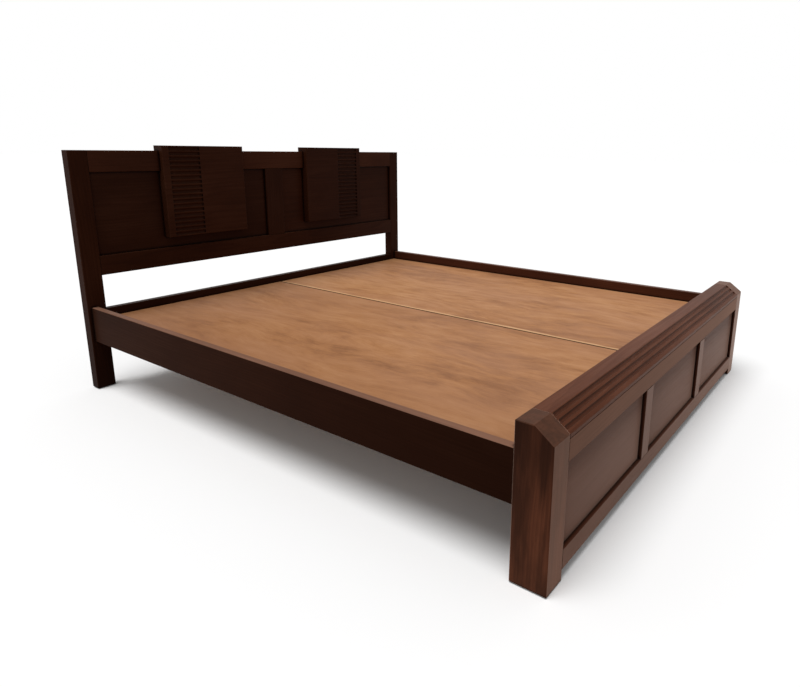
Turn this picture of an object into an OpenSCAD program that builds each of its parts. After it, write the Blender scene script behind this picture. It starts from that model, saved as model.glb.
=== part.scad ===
// Panelled wooden bed frame with a boxed footboard and two grooved blocks on the headboard.
// Millimetres. The head is at +Y, the foot at -Y, and the floor is z = 0 under the middle of the frame.

/* [Mattress bay] */
// Width of the mattress that the frame takes
mattress_w = 1830; // [1500:5:1980]
// Length of the mattress that the frame takes
mattress_l = 1980; // [1880:5:2080]
// Space left round the mattress on each side
mattress_gap = 5; // [2:1:15]

/* [Side rails] */
// Thickness of the side rails
rail_t = 25; // [22:1:35]
// Height of the side rails
rail_h = 145; // [135:1:170]
// Height of the side rails' lower edge above the floor
rail_z = 207; // [180:1:240]

/* [Deck] */
// Depth of the deck's top below the side rails' top
deck_drop = 47; // [35:1:60]
// Thickness of the plywood deck boards
deck_t = 18; // [12:1:22]
// Gap between the two deck boards and round their edges
deck_gap = 6; // [2:0.5:8]
// Width of a cross bearer
bearer_w = 70; // [50:1:90]
// Thickness of a cross bearer
bearer_t = 25; // [22:1:30]
// Space at the ends of a bearer and beside the first and the last one
bearer_gap = 2; // [1:0.5:4]
// Thickness of the ledgers on the side rails
ledger_t = 30; // [28:1:40]
// Height of the ledgers
ledger_h = 40; // [36:1:44]
// Space between a ledger's end and the post beside it
ledger_end = 10; // [5:1:30]
// Width of the centre beam
beam_w = 70; // [60:1:90]
// Thickness of the centre beam
beam_t = 35; // [30:1:36]
// Gap at each end of the centre beam
beam_end_gap = 0.5; // [0.3:0.1:0.8]
// Width of the cleats under the ends of the centre beam
cleat_w = 110; // [100:1:140]
// Depth of the cleats
cleat_d = 30; // [26:1:36]
// Height of the cleats
cleat_h = 20; // [18:1:22]
// Width of the square centre legs
leg_w = 48; // [40:1:58]
// Distance from each end of the bay to the nearest centre leg
leg_end = 330; // [250:5:450]

/* [Headboard] */
// Width of the head posts
head_post_w = 72; // [66:1:90]
// Depth of the head posts
head_post_d = 48; // [44:1:60]
// How far the head posts stand outside the side rails
head_margin = 15; // [10:1:20]
// Height of the headboard's posts and top rail
head_h = 978; // [900:1:1100]
// Height of the headboard's lower edge
head_low = 478; // [430:1:520]
// Thickness of the headboard's rails and mullion
head_frame_t = 40; // [36:1:44]
// Width of the headboard's top rail
head_top_rail_w = 85; // [70:1:110]
// Width of the headboard's bottom rail
head_bottom_rail_w = 80; // [60:1:100]
// Width of the headboard's mullion
head_mullion_w = 102; // [70:1:130]
// Depth of the headboard panels behind the face of their frame
head_recess = 14; // [8:1:15]
// Thickness of the head cross rail
head_cross_t = 30; // [26:1:36]
// Height of the head cross rail above the deck
head_cross_lip = 33; // [20:1:45]

/* [Headboard blocks] */
// Width of a block
block_w = 401; // [300:1:420]
// Distance from the middle of the headboard to a block
block_in = 196; // [150:1:230]
// How far the blocks stand proud of the headboard's face
block_proud = 26; // [22:1:34]
// How far the blocks rise over the top rail
block_rise = 22; // [16:1:40]
// Height of a block's lower edge
block_low = 605; // [590:1:680]
// Plain margin outside the grooved strip
strip_margin = 30; // [15:1:60]
// Width of the grooved strip
strip_w = 145; // [100:1:180]
// Distance from one groove to the next
groove_pitch = 20.5; // [19:0.5:28]
// Radius of the cutter that makes a groove
groove_r = 8; // [6:0.5:9]
// Depth of a groove
groove_d = 5; // [3:0.5:6]

/* [Footboard] */
// Width of the foot posts
foot_post_w = 80; // [70:1:95]
// Depth of the foot posts and of the whole footboard
foot_post_d = 100; // [96:1:120]
// Height of the footboard
foot_h = 420; // [400:1:460]
// Thickness of the cap
cap_t = 48; // [44:1:56]
// Depth of the flat top of the cap
cap_flat = 49; // [40:1:56]
// Height that the cap's chamfer falls
cap_fall = 38; // [30:1:40]
// Width of the footboard's top rail
foot_top_rail_w = 60; // [50:1:90]
// Width of the footboard's bottom rail
foot_bottom_rail_w = 57; // [50:1:95]
// Height of the bottom rail above the floor
foot_low = 30; // [20:1:60]
// Thickness of the footboard's outer rails and mullions
foot_frame_t = 40; // [38:1:44]
// Width of a footboard mullion
foot_mullion_w = 62; // [50:1:100]
// Depth of the footboard panels behind the face of their frame
foot_recess = 12; // [8:1:18]
// Thickness of the inner board of the footboard
foot_cross_t = 25; // [24:1:30]
// Number of flutes on the cap
flute_n = 3; // [1:1:3]
// Distance of the first flute from the edge of the flat top
flute_first = 8; // [7:0.5:10]
// Distance from one flute to the next
flute_pitch = 19.5; // [14:0.5:20]
// Radius of the cutter that makes a flute
flute_r = 6; // [4:0.5:6]
// Depth of a flute
flute_d = 4; // [2:0.5:4]
// Plain length of the cap between the flutes and the posts
flute_end = 8; // [7:1:60]

/* [Joinery] */
// Easing of the long edges
ease = 2; // [1:0.5:3]
// Thickness of the panels
panel_t = 12; // [9:1:13]
// Length of the panels' tongues
tongue = 8; // [6:1:9]
// Length of the tenons
tenon_l = 30; // [20:1:32]
// Thickness of the tenons
tenon_t = 12; // [10:1:14]
// Shoulder above and below a tenon
shoulder = 14; // [12:1:18]
// Clearance round tenons, tongues and plates
fit = 0.3; // [0.2:0.05:0.5]
// Radius of the cap's dowels
dowel_r = 5; // [4:0.5:6]
// Length of the cap's dowels
dowel_l = 30; // [20:1:32]
// Clearance round dowels, screws and bolts
pin_fit = 0.1; // [0.05:0.05:0.2]

/* [Rail fittings] */
// Thickness of the steel plates
plate_t = 2.5; // [2:0.5:3]
// Width of the steel plates
plate_w = 16; // [14:1:18]
// Distance of the plates' ends from the rail's edges
plate_margin = 8.5; // [8:0.5:10]
// Distance of the screws from the plates' ends
plate_screw_in = 7; // [6:0.5:8]
// Thickness of a hook
hook_t = 4; // [3:0.5:5]
// Height of a hook's neck
neck_h = 14; // [12:1:16]
// Distance from a plate's end to the nearest neck or slot
neck_in = 22; // [21:0.5:23]
// Length of a hook's nose below its neck
nose_h = 8; // [6:1:9]
// Reach of a hook behind the slotted plate
nose_d = 6; // [4:1:8]
// Space between a hook's nose and the slotted plate
nose_gap = 0.3; // [0.2:0.1:0.6]

/* [Screws, bolts and glides] */
// Radius of a screw's head
screw_head_r = 4; // [3.5:0.5:4.5]
// Radius of a screw's shank
screw_r = 2; // [1.5:0.25:2.25]
// Height of a screw's countersunk head
screw_head_h = 2.2; // [1.8:0.1:2.2]
// Depth of the screws' heads below the surface
screw_sink = 0.3; // [0.2:0.1:0.5]
// Length of the plate screws
plate_screw_l = 28; // [20:1:36]
// Length of the ledger, bearer and cleat screws
batten_screw_l = 45; // [42:1:50]
// Length of the block screws
block_screw_l = 56; // [50:1:60]
// Radius of the hanger bolts in the centre legs
bolt_r = 4; // [3:0.5:5]
// Depth of the hanger bolts in the beam
bolt_up = 25; // [18:1:28]
// Depth of the hanger bolts in the legs
bolt_down = 40; // [30:1:60]
// Radius of a glide
glide_r = 14; // [10:1:18]
// Thickness of a glide
glide_t = 3; // [2:0.5:5]
// Radius of a glide's nail
nail_r = 1.5; // [1:0.25:2]
// Length of a glide's nail
nail_l = 15; // [10:1:20]

/* [Hidden] */
$fn = 32;
bearer_n = 6;
bite = 1;
end_gap = 1;
bay_w = mattress_w + 2 * mattress_gap;
bay_l = mattress_l + 2 * mattress_gap;
total_l = head_post_d + bay_l + foot_post_d;
y_face = total_l / 2 - head_post_d;
y_foot = y_face - bay_l;
y_front = y_foot - foot_post_d;
x_bay = bay_w / 2;
x_out = x_bay + rail_t;
x_head = x_out + head_margin;
x_head_in = x_head - head_post_w;
x_foot_in = x_out - foot_post_w;
rail_top = rail_z + rail_h;
deck_top = rail_top - deck_drop;
z_bearer = deck_top - deck_t;
z_beam = z_bearer - bearer_t;
z_cleat = z_beam - beam_t;
z_cap = foot_h - cap_t;
z_head_panel = [head_low + head_bottom_rail_w, head_h - head_top_rail_w];
z_foot_panel = [foot_low + foot_bottom_rail_w, z_cap - foot_top_rail_w];
y_head_panel = y_face + head_recess;
y_foot_panel = y_front + foot_recess;
foot_panel_w = (2 * x_foot_in - 2 * foot_mullion_w) / 3;
x_plate = x_bay + rail_t / 2;
plate_h = min(rail_top, z_cap) - rail_z - 2 * plate_margin;
z_plate = rail_z + plate_margin + plate_h / 2;
slot_side = 1;
slot_lift = 1.5;
slot_h = neck_h + nose_h + slot_lift;
neck_z = [-plate_h / 2 + neck_in, plate_h / 2 - neck_in - slot_h];
plate_screw_z = [-plate_h / 2 + plate_screw_in, plate_h / 2 - plate_screw_in];
block_h = head_h + block_rise - block_low;
groove_n = floor((block_h - 2 * ease) / groove_pitch);
slope_a = atan2(cap_fall, foot_post_d - cap_flat);
bearer_run = bay_l - 2 * bearer_gap - bearer_w;
screw_step = 140;
cap_dowel_n = 5;
cleat_screw_x = 38;
end_dowel_in = 13;
leg_y = [y_face - leg_end, (y_face + y_foot) / 2, y_foot + leg_end];
glide_places = [
    for (side = [-1, 1]) [side * (x_head - head_post_w / 2), y_face + head_post_d / 2],
    for (side = [-1, 1]) [side * (x_out - foot_post_w / 2), y_foot - foot_post_d / 2],
    for (y = leg_y) [0, y]
];
stain = [0.20, 0.10, 0.07];
ply = [0.65, 0.46, 0.33];
plain_wood = [0.72, 0.58, 0.40];
steel = [0.62, 0.63, 0.64];
black = [0.08, 0.08, 0.08];

// Boxes are pairs of corners: [[low x, y, z], [high x, y, z]].
function grown(b, g) = [b[0] - g * [1, 1, 1], b[1] + g * [1, 1, 1]];
function bearer_y(i) = y_face - bearer_gap - bearer_w / 2 - (i - 1) * bearer_run / (bearer_n - 1);

module box(b) {
    translate(b[0]) cube(b[1] - b[0]);
}

module eased_rect(w, h) {
    polygon([
        [ease, 0], [w - ease, 0], [w, ease], [w, h - ease],
        [w - ease, h], [ease, h], [0, h - ease], [0, ease]
    ]);
}

module bar_x(b) {
    s = b[1] - b[0];
    translate(b[0]) rotate([90, 0, 90]) linear_extrude(s.x) eased_rect(s.y, s.z);
}

module bar_y(b) {
    s = b[1] - b[0];
    translate([b[0].x, b[1].y, b[0].z]) rotate([90, 0, 0]) linear_extrude(s.y) eased_rect(s.x, s.z);
}

module bar_z(b) {
    s = b[1] - b[0];
    translate(b[0]) linear_extrude(s.z) eased_rect(s.x, s.y);
}

// A board with every edge eased
module board(b) {
    intersection() {
        bar_x(b);
        bar_y(b);
        bar_z(b);
    }
}

// A rail between two posts, with a tenon at each end
function tenon(b, side) = let (y = (b[0].y + b[1].y) / 2, x = side * b[1].x) [
    [min(x - side * bite, x + side * tenon_l), y - tenon_t / 2, b[0].z + shoulder],
    [max(x - side * bite, x + side * tenon_l), y + tenon_t / 2, b[1].z - shoulder]
];

module tenoned_rail(b) {
    bar_x(b);
    for (side = [-1, 1]) box(tenon(b, side));
}

function mortise(b) = let (t = tenon(b, 1)) [t[0] - fit * [1, 1, 1], t[1] + [end_gap, fit, fit]];

// Countersunk screw along -z, sunk just below a surface at the origin
module wood_screw(l) {
    translate([0, 0, -screw_sink]) difference() {
        rotate_extrude() polygon([
            [0, 0], [screw_head_r, 0], [screw_r, -screw_head_h],
            [screw_r, -l + screw_r], [screw_r / 4, -l], [0, -l]
        ]);
        for (a = [0, 90]) rotate([0, 0, a]) translate([0, 0, -screw_head_h / 4])
            cube([screw_head_r, screw_r / 2, screw_head_h], center = true);
    }
}

module screw_hole(l) {
    head = screw_head_r + pin_fit;
    shank = screw_r + pin_fit;
    neck = -screw_sink - screw_head_h;
    end = -screw_sink - l - end_gap;
    rotate_extrude() polygon([
        [0, bite], [head, bite], [head, -screw_sink], [shank, neck], [shank, end], [0, end]
    ]);
}

// Places of what repeats
module at_corners() {
    for (side = [-1, 1]) {
        translate([side * x_plate, y_face, z_plate]) children();
        translate([side * x_plate, y_foot, z_plate]) mirror([0, 1, 0]) children();
    }
}

module at_post_screws() {
    at_corners() for (z = plate_screw_z) translate([0, 0, z]) rotate([90, 0, 0]) children();
}

module at_rail_screws() {
    at_corners() for (z = plate_screw_z) translate([0, 0, z]) rotate([-90, 0, 0]) children();
}

module at_ledger_screws() {
    for (side = [-1, 1]) for (i = [1:bearer_n - 1])
        translate([side * (x_bay - ledger_t), (bearer_y(i) + bearer_y(i + 1)) / 2, z_beam - ledger_h / 2])
            rotate([0, -90 * side, 0]) children();
}

module at_bearer_screws(i) {
    for (side = [-1, 0, 1]) translate([side * (x_bay - ledger_t / 2), bearer_y(i), z_bearer]) children();
}

module at_block_screws() {
    z = head_h - head_top_rail_w / 2;
    for (side = [-1, 1]) for (k = [-1, 0, 1])
        translate([side * (block_in + block_w / 2) + k * screw_step, y_face + head_frame_t, z])
            rotate([-90, 0, 0]) children();
}

module at_cleat_screws() {
    for (x = [-cleat_screw_x, cleat_screw_x]) {
        translate([x, y_face - cleat_d, z_cleat - cleat_h / 2]) rotate([90, 0, 0]) children();
        translate([x, y_foot + cleat_d, z_cleat - cleat_h / 2]) rotate([-90, 0, 0]) children();
    }
}

module at_cap_dowels() {
    for (side = [-1, 1]) for (y = [y_foot - end_dowel_in, y_foot - cap_flat + end_dowel_in])
        translate([side * x_foot_in, y, z_cap + cap_t / 2]) rotate([0, 90, 0]) children();
    for (i = [1:cap_dowel_n]) for (y = [y_foot - foot_cross_t / 2, y_front + foot_frame_t / 2])
        translate([x_foot_in * (2 * i / (cap_dowel_n + 1) - 1), y, z_cap]) children();
}

module at_legs() {
    for (y = leg_y) translate([0, y, z_cleat]) children();
}

module at_glides() {
    for (p = glide_places) translate([p.x, p.y, glide_t]) children();
}

module dowel_hole() {
    cylinder(h = dowel_l + end_gap, r = dowel_r + pin_fit, center = true);
}

module bolt_hole() {
    translate([0, 0, -bolt_down - end_gap])
        cylinder(h = bolt_up + bolt_down + 2 * end_gap, r = bolt_r + pin_fit);
}

module nail_hole() {
    cylinder(h = nail_l + end_gap, r = nail_r + pin_fit);
}

// Headboard
head_top_rail = [[-x_head_in, y_face, z_head_panel[1]], [x_head_in, y_face + head_frame_t, head_h]];
head_bottom_rail = [[-x_head_in, y_face, head_low], [x_head_in, y_face + head_frame_t, z_head_panel[0]]];
head_cross = [[-x_head_in, y_face, rail_z], [x_head_in, y_face + head_cross_t, deck_top + head_cross_lip]];
head_field = [
    [-x_head_in - tongue, y_head_panel, z_head_panel[0] - tongue],
    [x_head_in + tongue, y_head_panel + panel_t, z_head_panel[1] + tongue]
];
head_panel = [[head_mullion_w / 2 - tongue, head_field[0].y, head_field[0].z], head_field[1]];

module head_post() {
    color(stain) difference() {
        board([[x_head_in, y_face, glide_t], [x_head, y_face + head_post_d, head_h]]);
        for (r = [head_top_rail, head_bottom_rail, head_cross]) box(mortise(r));
        box(grown(head_field, fit));
        at_corners() post_pocket();
        at_post_screws() screw_hole(plate_screw_l);
        at_glides() nail_hole();
    }
}

module headboard_top_rail() {
    color(stain) difference() {
        tenoned_rail(head_top_rail);
        box(grown(head_field, fit));
        at_block_screws() screw_hole(block_screw_l);
    }
}

module headboard_bottom_rail() {
    color(stain) difference() {
        tenoned_rail(head_bottom_rail);
        box(grown(head_field, fit));
    }
}

module headboard_mullion() {
    half = head_mullion_w / 2;
    color(stain) difference() {
        union() {
            bar_z([[-half, y_face, z_head_panel[0]], [half, y_face + head_frame_t, z_head_panel[1]]]);
            box([[-half, head_field[0].y, head_field[0].z], [half, head_field[1].y, head_field[1].z]]);
        }
        for (side = [0, 1]) mirror([side, 0, 0]) box(grown(head_panel, fit));
    }
}

module headboard_panel() {
    color(stain) box(head_panel);
}

// A block hooks over the top rail, and its thicker lower part fills the recess in front of the panel.
module headboard_block() {
    y_proud = y_face - block_proud;
    z_top = head_h + block_rise;
    y_back = y_face + head_frame_t;
    color(stain) difference() {
        intersection() {
            translate([block_in, 0, 0]) rotate([90, 0, 90]) linear_extrude(block_w) polygon([
                [y_proud, block_low + ease], [y_proud + ease, block_low], [y_head_panel, block_low],
                [y_head_panel, z_head_panel[1] - end_gap], [y_face, z_head_panel[1] - end_gap],
                [y_face, head_h], [y_back, head_h], [y_back, z_top - ease], [y_back - ease, z_top],
                [y_proud + ease, z_top], [y_proud, z_top - ease]
            ]);
            bar_z([[block_in, y_proud, block_low], [block_in + block_w, y_back, z_top]]);
        }
        for (i = [0:groove_n - 1]) translate([
            block_in + block_w - strip_margin - strip_w, y_proud + groove_d - groove_r,
            block_low + block_h / 2 + (i - (groove_n - 1) / 2) * groove_pitch
        ]) rotate([0, 90, 0]) cylinder(h = strip_w, r = groove_r);
        at_block_screws() screw_hole(block_screw_l);
    }
}

module head_cross_rail() {
    color(stain) difference() {
        tenoned_rail(head_cross);
        at_cleat_screws() screw_hole(batten_screw_l);
    }
}

// Side rails and deck
module side_rail() {
    recess = [[-plate_w / 2, -plate_t, -plate_h / 2], [plate_w / 2, bite, plate_h / 2]];
    color(stain) difference() {
        bar_y([[x_bay, y_foot, rail_z], [x_out, y_face, rail_top]]);
        at_corners() box(grown(recess, fit));
        at_rail_screws() screw_hole(plate_screw_l);
        at_ledger_screws() screw_hole(batten_screw_l);
    }
}

module side_ledger() {
    color(plain_wood) difference() {
        bar_y([
            [x_bay - ledger_t, y_foot + ledger_end, z_beam - ledger_h], [x_bay, y_face - ledger_end, z_beam]
        ]);
        at_ledger_screws() screw_hole(batten_screw_l);
        for (i = [1:bearer_n]) at_bearer_screws(i) screw_hole(batten_screw_l);
    }
}

module deck_bearer(i) {
    x = x_bay - bearer_gap;
    y = bearer_y(i);
    color(plain_wood) difference() {
        bar_x([[-x, y - bearer_w / 2, z_beam], [x, y + bearer_w / 2, z_bearer]]);
        at_bearer_screws(i) screw_hole(batten_screw_l);
    }
}

module centre_beam() {
    color(plain_wood) difference() {
        bar_y([[-beam_w / 2, y_foot + beam_end_gap, z_cleat], [beam_w / 2, y_face - beam_end_gap, z_beam]]);
        for (i = [1:bearer_n]) at_bearer_screws(i) screw_hole(batten_screw_l);
        at_legs() bolt_hole();
    }
}

module beam_cleats() {
    color(plain_wood) difference() {
        for (y = [y_foot, y_face - cleat_d])
            bar_x([[-cleat_w / 2, y, z_cleat - cleat_h], [cleat_w / 2, y + cleat_d, z_cleat]]);
        at_cleat_screws() screw_hole(batten_screw_l);
    }
}

module centre_leg(i) {
    y = leg_y[i];
    color(plain_wood) difference() {
        board([[-leg_w / 2, y - leg_w / 2, glide_t], [leg_w / 2, y + leg_w / 2, z_cleat]]);
        at_legs() bolt_hole();
        at_glides() nail_hole();
    }
}

module deck_board() {
    color(ply) board([
        [deck_gap / 2, y_foot + deck_gap, z_bearer], [x_bay - deck_gap, y_face - deck_gap, deck_top]
    ]);
}

// Footboard
foot_top_rail = [[-x_foot_in, y_front, z_foot_panel[1]], [x_foot_in, y_front + foot_frame_t, z_cap]];
foot_bottom_rail = [[-x_foot_in, y_front, foot_low], [x_foot_in, y_front + foot_frame_t, z_foot_panel[0]]];
foot_cross = [[-x_foot_in, y_foot - foot_cross_t, rail_z], [x_foot_in, y_foot, z_cap]];
foot_field = [
    [-x_foot_in - tongue, y_foot_panel, z_foot_panel[0] - tongue],
    [x_foot_in + tongue, y_foot_panel + panel_t, z_foot_panel[1] + tongue]
];

function foot_panel(i) = let (x = -x_foot_in + i * (foot_panel_w + foot_mullion_w)) [
    [x - tongue, foot_field[0].y, foot_field[0].z],
    [x + foot_panel_w + tongue, foot_field[1].y, foot_field[1].z]
];

// A length of the footboard's outline, which its posts and its cap share
module capped_bar(x, z_low) {
    translate([x[0], 0, 0]) rotate([90, 0, 90]) linear_extrude(x[1] - x[0]) polygon([
        [y_foot, z_low], [y_front, z_low], [y_front, foot_h - cap_fall],
        [y_foot - cap_flat, foot_h], [y_foot - ease, foot_h], [y_foot, foot_h - ease]
    ]);
}

module foot_post() {
    color(stain) difference() {
        intersection() {
            capped_bar([x_foot_in, x_out], glide_t);
            bar_z([[x_foot_in, y_front, glide_t], [x_out, y_foot, foot_h]]);
            bar_y([[x_foot_in - ease, y_front, glide_t], [x_out, y_foot, foot_h]]);
        }
        for (r = [foot_top_rail, foot_bottom_rail, foot_cross]) box(mortise(r));
        box(grown(foot_field, fit));
        at_corners() post_pocket();
        at_post_screws() screw_hole(plate_screw_l);
        at_cap_dowels() dowel_hole();
        at_glides() nail_hole();
    }
}

module flute() {
    rotate([0, 90, 0]) cylinder(h = 2 * (x_foot_in - flute_end), r = flute_r, center = true);
    for (side = [-1, 1]) translate([side * (x_foot_in - flute_end), 0, 0]) sphere(r = flute_r);
}

module footboard_cap() {
    color(stain) difference() {
        capped_bar([-x_foot_in, x_foot_in], z_cap);
        translate([0, y_foot - cap_flat, foot_h]) rotate([slope_a, 0, 0]) for (i = [0:flute_n - 1])
            translate([0, -flute_first - i * flute_pitch, flute_r - flute_d]) flute();
        at_cap_dowels() dowel_hole();
    }
}

module footboard_top_rail() {
    color(stain) difference() {
        tenoned_rail(foot_top_rail);
        box(grown(foot_field, fit));
        at_cap_dowels() dowel_hole();
    }
}

module footboard_bottom_rail() {
    color(stain) difference() {
        tenoned_rail(foot_bottom_rail);
        box(grown(foot_field, fit));
    }
}

module footboard_mullion() {
    x = [foot_panel_w / 2, foot_panel_w / 2 + foot_mullion_w];
    color(stain) difference() {
        union() {
            bar_z([[x[0], y_front, z_foot_panel[0]], [x[1], y_front + foot_frame_t, z_foot_panel[1]]]);
            box([[x[0], foot_field[0].y, foot_field[0].z], [x[1], foot_field[1].y, foot_field[1].z]]);
        }
        for (i = [1, 2]) box(grown(foot_panel(i), fit));
    }
}

module footboard_panel(i) {
    color(stain) box(foot_panel(i));
}

module foot_cross_rail() {
    color(stain) difference() {
        tenoned_rail(foot_cross);
        at_cap_dowels() dowel_hole();
        at_cleat_screws() screw_hole(batten_screw_l);
    }
}

// Bed rail fittings, in a corner's own frame: the post is at +y, the rail at -y
module post_pocket() {
    half_slot = hook_t / 2 + slot_side;
    box([[-plate_w / 2 - fit, -bite, -plate_h / 2 - fit], [plate_w / 2 + fit, plate_t, plate_h / 2 + fit]]);
    for (z = neck_z) box([
        [-half_slot - fit, 0, z - nose_h - fit], [half_slot + fit, plate_t + nose_d + end_gap, z + slot_h]
    ]);
}

module slot_plate() {
    half_slot = hook_t / 2 + slot_side;
    difference() {
        box([[-plate_w / 2, 0, -plate_h / 2], [plate_w / 2, plate_t, plate_h / 2]]);
        for (z = neck_z) box([[-half_slot, -bite, z - fit], [half_slot, plate_t + bite, z + slot_h]]);
    }
}

module hook_plate() {
    box([[-plate_w / 2, -plate_t, -plate_h / 2], [plate_w / 2, 0, plate_h / 2]]);
    for (z = neck_z) {
        box([[-hook_t / 2, -bite, z], [hook_t / 2, plate_t + nose_d, z + neck_h]]);
        box([[-hook_t / 2, plate_t + nose_gap, z - nose_h], [hook_t / 2, plate_t + nose_d, z + bite]]);
    }
}

module rail_hook_plates() {
    color(steel) difference() {
        at_corners() hook_plate();
        at_rail_screws() screw_hole(plate_screw_l);
    }
}

module post_slot_plates() {
    color(steel) difference() {
        at_corners() slot_plate();
        at_post_screws() screw_hole(plate_screw_l);
    }
}

module plate_screws() {
    color(steel) {
        at_post_screws() wood_screw(plate_screw_l);
        at_rail_screws() wood_screw(plate_screw_l);
    }
}

module ledger_screws() {
    color(steel) at_ledger_screws() wood_screw(batten_screw_l);
}

module bearer_screws() {
    color(steel) for (i = [1:bearer_n]) at_bearer_screws(i) wood_screw(batten_screw_l);
}

module block_screws() {
    color(steel) at_block_screws() wood_screw(block_screw_l);
}

module cleat_screws() {
    color(steel) at_cleat_screws() wood_screw(batten_screw_l);
}

module cap_dowels() {
    color(plain_wood) at_cap_dowels() cylinder(h = dowel_l, r = dowel_r, center = true);
}

module leg_bolts() {
    color(steel) at_legs() translate([0, 0, -bolt_down]) cylinder(h = bolt_up + bolt_down, r = bolt_r);
}

module leg_glides() {
    color(black) at_glides() {
        translate([0, 0, -glide_t]) cylinder(h = glide_t, r = glide_r);
        translate([0, 0, -bite]) cylinder(h = nail_l + bite, r = nail_r);
    }
}

mirror([1, 0, 0]) head_post();  // head_post_left
head_post();  // head_post_right
headboard_top_rail();
headboard_bottom_rail();
headboard_mullion();
mirror([1, 0, 0]) headboard_panel();  // headboard_panel_left
headboard_panel();  // headboard_panel_right
mirror([1, 0, 0]) headboard_block();  // headboard_block_left
headboard_block();  // headboard_block_right
head_cross_rail();
mirror([1, 0, 0]) side_rail();  // side_rail_left
side_rail();  // side_rail_right
mirror([1, 0, 0]) side_ledger();  // side_ledger_left
side_ledger();  // side_ledger_right
deck_bearer(1);  // deck_bearer_1
deck_bearer(2);  // deck_bearer_2
deck_bearer(3);  // deck_bearer_3
deck_bearer(4);  // deck_bearer_4
deck_bearer(5);  // deck_bearer_5
deck_bearer(6);  // deck_bearer_6
centre_beam();
beam_cleats();
centre_leg(0);  // centre_leg_head
centre_leg(1);  // centre_leg_middle
centre_leg(2);  // centre_leg_foot
mirror([1, 0, 0]) deck_board();  // deck_board_left
deck_board();  // deck_board_right
mirror([1, 0, 0]) foot_post();  // foot_post_left
foot_post();  // foot_post_right
footboard_cap();
footboard_top_rail();
footboard_bottom_rail();
mirror([1, 0, 0]) footboard_mullion();  // footboard_mullion_left
footboard_mullion();  // footboard_mullion_right
footboard_panel(0);  // footboard_panel_left
footboard_panel(1);  // footboard_panel_centre
footboard_panel(2);  // footboard_panel_right
foot_cross_rail();
rail_hook_plates();
post_slot_plates();
plate_screws();
ledger_screws();
bearer_screws();
block_screws();
cleat_screws();
cap_dowels();
leg_bolts();
leg_glides();
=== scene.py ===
"""Finishes a panelled wooden bed frame and shows it in a plain white studio."""

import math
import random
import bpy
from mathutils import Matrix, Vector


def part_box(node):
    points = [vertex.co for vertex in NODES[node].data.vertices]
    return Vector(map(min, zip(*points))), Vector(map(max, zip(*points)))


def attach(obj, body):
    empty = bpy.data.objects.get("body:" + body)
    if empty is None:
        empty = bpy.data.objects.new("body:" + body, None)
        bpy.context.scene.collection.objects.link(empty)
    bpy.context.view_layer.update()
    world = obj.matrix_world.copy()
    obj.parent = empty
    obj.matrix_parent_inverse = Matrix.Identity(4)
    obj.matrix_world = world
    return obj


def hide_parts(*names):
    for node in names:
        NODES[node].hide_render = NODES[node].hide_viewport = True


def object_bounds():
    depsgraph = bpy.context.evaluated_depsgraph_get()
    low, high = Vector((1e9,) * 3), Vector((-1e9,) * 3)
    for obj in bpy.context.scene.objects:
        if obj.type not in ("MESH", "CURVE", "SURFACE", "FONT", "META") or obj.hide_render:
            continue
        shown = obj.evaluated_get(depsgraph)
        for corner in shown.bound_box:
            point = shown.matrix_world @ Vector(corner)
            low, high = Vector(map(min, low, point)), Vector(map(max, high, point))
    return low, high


bl_info = {
    "name": "Panelled bed frame",
    "version": (1, 0, 0),
    "blender": (4, 5, 0),
    "location": "View3D > Sidebar > Bed frame",
    "description": "Wood, plywood and steel finishes, threaded screws and a studio for a bed frame",
    "category": "Object",
}

import bmesh
import bpy
from bpy.props import FloatProperty, FloatVectorProperty, IntProperty, PointerProperty
from mathutils import Euler, Matrix, Vector

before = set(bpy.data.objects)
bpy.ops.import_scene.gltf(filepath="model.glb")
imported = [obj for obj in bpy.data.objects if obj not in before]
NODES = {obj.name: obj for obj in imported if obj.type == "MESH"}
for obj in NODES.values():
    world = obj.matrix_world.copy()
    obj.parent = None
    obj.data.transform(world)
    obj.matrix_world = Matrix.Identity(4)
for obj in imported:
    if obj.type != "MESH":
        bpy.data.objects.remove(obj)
CAD_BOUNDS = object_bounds()
FLOOR_Z = CAD_BOUNDS[0].z
LENGTH = CAD_BOUNDS[1].y - CAD_BOUNDS[0].y
MM = 0.001

# How each board is cut and finished: the axis of its grain, how light its stain is drawn (partly
# the board's own tone, partly painted light and shade, set board by board for how the light falls
# on it), its lacquer's gloss and the pale bloom on it at a glancing angle, the painted sheen on its
# faces towards the foot and on its top, its share of knots, and how dark its high end is (below
# zero, its low end)
HEADBOARD = {
    "head_post_left": {"axis": "Z", "tone": 0.78, "gloss": 0.01, "dark_end": -0.6},
    "head_post_right": {"axis": "Z", "tone": 0.81, "gloss": 0.015},
    "headboard_top_rail": {"axis": "X", "tone": 1.15, "gloss": 0.02},
    "headboard_bottom_rail": {"axis": "X", "tone": 0.82, "gloss": 0.02},
    "headboard_mullion": {"axis": "Z", "tone": 0.68, "gloss": 0.02},
    "headboard_panel_left": {"axis": "X", "tone": 0.68, "gloss": 0.02},
    "headboard_panel_right": {"axis": "X", "tone": 0.85, "gloss": 0.02},
    "headboard_block_left": {"axis": "X", "tone": 0.86, "gloss": 0.02},
    "headboard_block_right": {"axis": "X", "tone": 0.78, "gloss": 0.02},
    "head_cross_rail": {"axis": "X", "tone": 0.67, "gloss": 0.02},
}
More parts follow.
